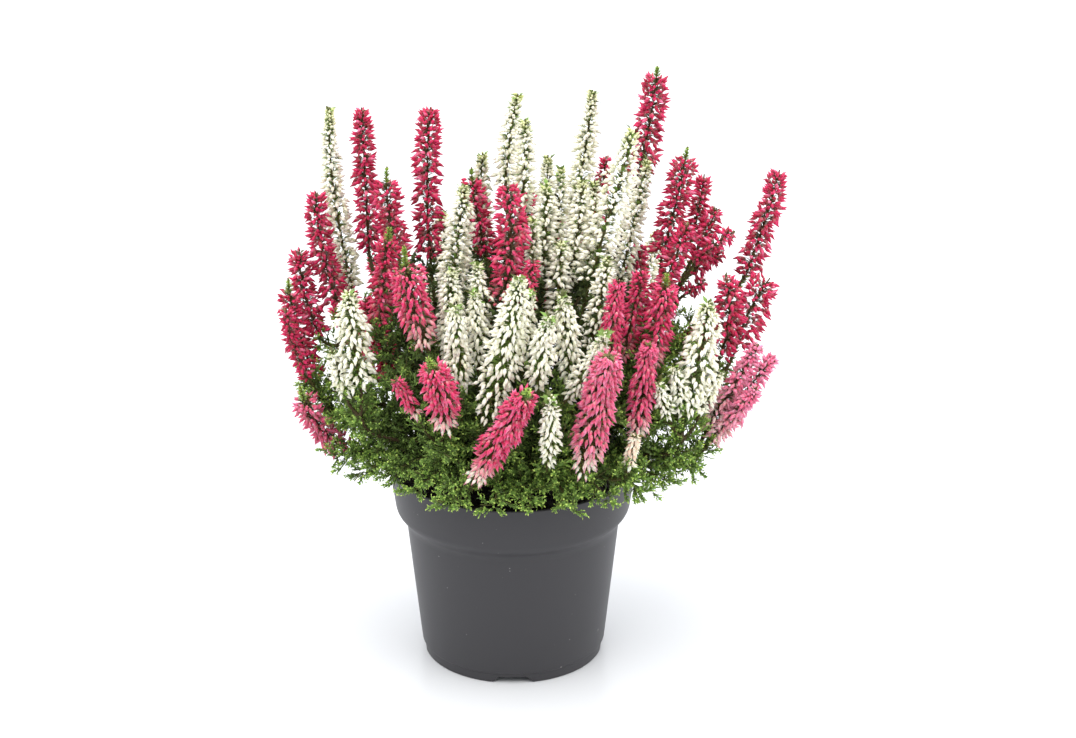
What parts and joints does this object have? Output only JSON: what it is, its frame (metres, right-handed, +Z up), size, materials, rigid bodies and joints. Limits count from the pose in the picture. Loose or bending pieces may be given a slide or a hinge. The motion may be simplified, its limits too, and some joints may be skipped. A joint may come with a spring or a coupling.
{
  "type": "potted heather",
  "caption": "Round plastic nursery pot of soil with leafy heather stems fanning out of it, topped by upright pink, pale and white racemes of closed buds.",
  "frame": {"origin": "middle of the pot's base, on the surface that the pot stands on", "axes": "+Z up, -Y towards the front of the plant, +X to its right as seen from the front"},
  "size_m": [0.2398, 0.1819, 0.2906],
  "materials": {
    "pot_plastic": "matte",
    "soil": "matte",
    "leaf": "matte",
    "pink_buds": "matte",
    "pale_buds": "matte",
    "white_buds": "matte"
  },
  "bodies": {
    "root": {"pot": "pot_plastic", "soil": "soil", "stem_1": "leaf", "stem_2": "leaf", "stem_3": "leaf", "stem_4": "leaf", "stem_5": "leaf", "stem_6": "leaf", "pink_raceme_01": "pink_buds", "white_raceme_01": "white_buds", "pink_raceme_02": "pink_buds", "pink_racemes_03": "pink_buds", "white_raceme_02": "white_buds", "white_raceme_03": "white_buds", "white_raceme_04": "white_buds", "white_racemes_05": "white_buds", "pink_raceme_04": "pink_buds", "white_racemes_06": "white_buds", "pale_racemes_01": "pale_buds", "pale_raceme_02": "pale_buds", "pink_raceme_05": "pink_buds", "pink_raceme_06": "pink_buds", "pink_raceme_07": "pink_buds", "white_racemes_07": "white_buds", "white_racemes_08": "white_buds", "pink_racemes_08": "pink_buds", "white_raceme_09": "white_buds", "white_raceme_10": "white_buds", "white_raceme_11": "white_buds", "pink_racemes_09": "pink_buds", "pink_raceme_10": "pink_buds", "pink_raceme_11": "pink_buds", "pink_racemes_12": "pink_buds", "pink_racemes_13": "pink_buds", "pink_raceme_14": "pink_buds", "pink_raceme_15": "pink_buds", "white_raceme_12": "white_buds", "pink_raceme_16": "pink_buds", "white_racemes_13": "white_buds", "white_racemes_14": "white_buds", "white_raceme_15": "white_buds", "white_raceme_16": "white_buds", "pink_raceme_17": "pink_buds", "pink_racemes_18": "pink_buds", "pink_racemes_19": "pink_buds", "pink_racemes_20": "pink_buds", "pink_raceme_21": "pink_buds", "pink_raceme_22": "pink_buds", "white_raceme_17": "white_buds", "pink_raceme_23": "pink_buds", "white_raceme_18": "white_buds", "white_racemes_19": "white_buds", "white_racemes_20": "white_buds", "white_raceme_21": "white_buds", "pink_racemes_24": "pink_buds", "pink_raceme_25": "pink_buds", "pink_racemes_26": "pink_buds", "white_racemes_22": "white_buds", "pink_racemes_27": "pink_buds", "white_racemes_23": "white_buds"}
  },
  "joints": []
}
